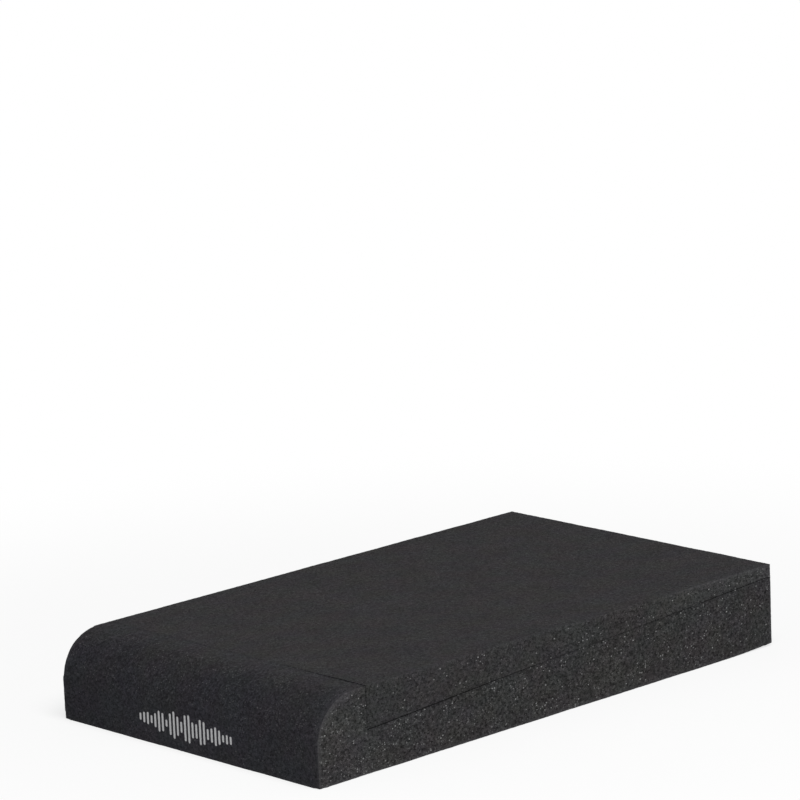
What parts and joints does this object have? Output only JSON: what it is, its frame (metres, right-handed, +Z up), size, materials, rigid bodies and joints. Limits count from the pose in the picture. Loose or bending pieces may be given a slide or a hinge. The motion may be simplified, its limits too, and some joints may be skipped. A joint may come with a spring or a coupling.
{
  "type": "speaker isolation pad",
  "caption": "Flat rectangular foam pad for one studio loudspeaker: a base with a rounded front edge and a sloping cut, and a loose wedge insert that makes its top level.",
  "frame": {"origin": "middle of the footprint, on the level of the surface that the pad lies on", "axes": "+Z up, +Y from the rounded front edge towards the rear edge, +X to the right seen from the front"},
  "size_m": [0.195, 0.33, 0.045],
  "materials": {
    "base_foam": "matte",
    "insert_foam": "matte"
  },
  "bodies": {
    "root": {"base_platform": "base_foam", "wedge_insert": "insert_foam"}
  },
  "joints": []
}
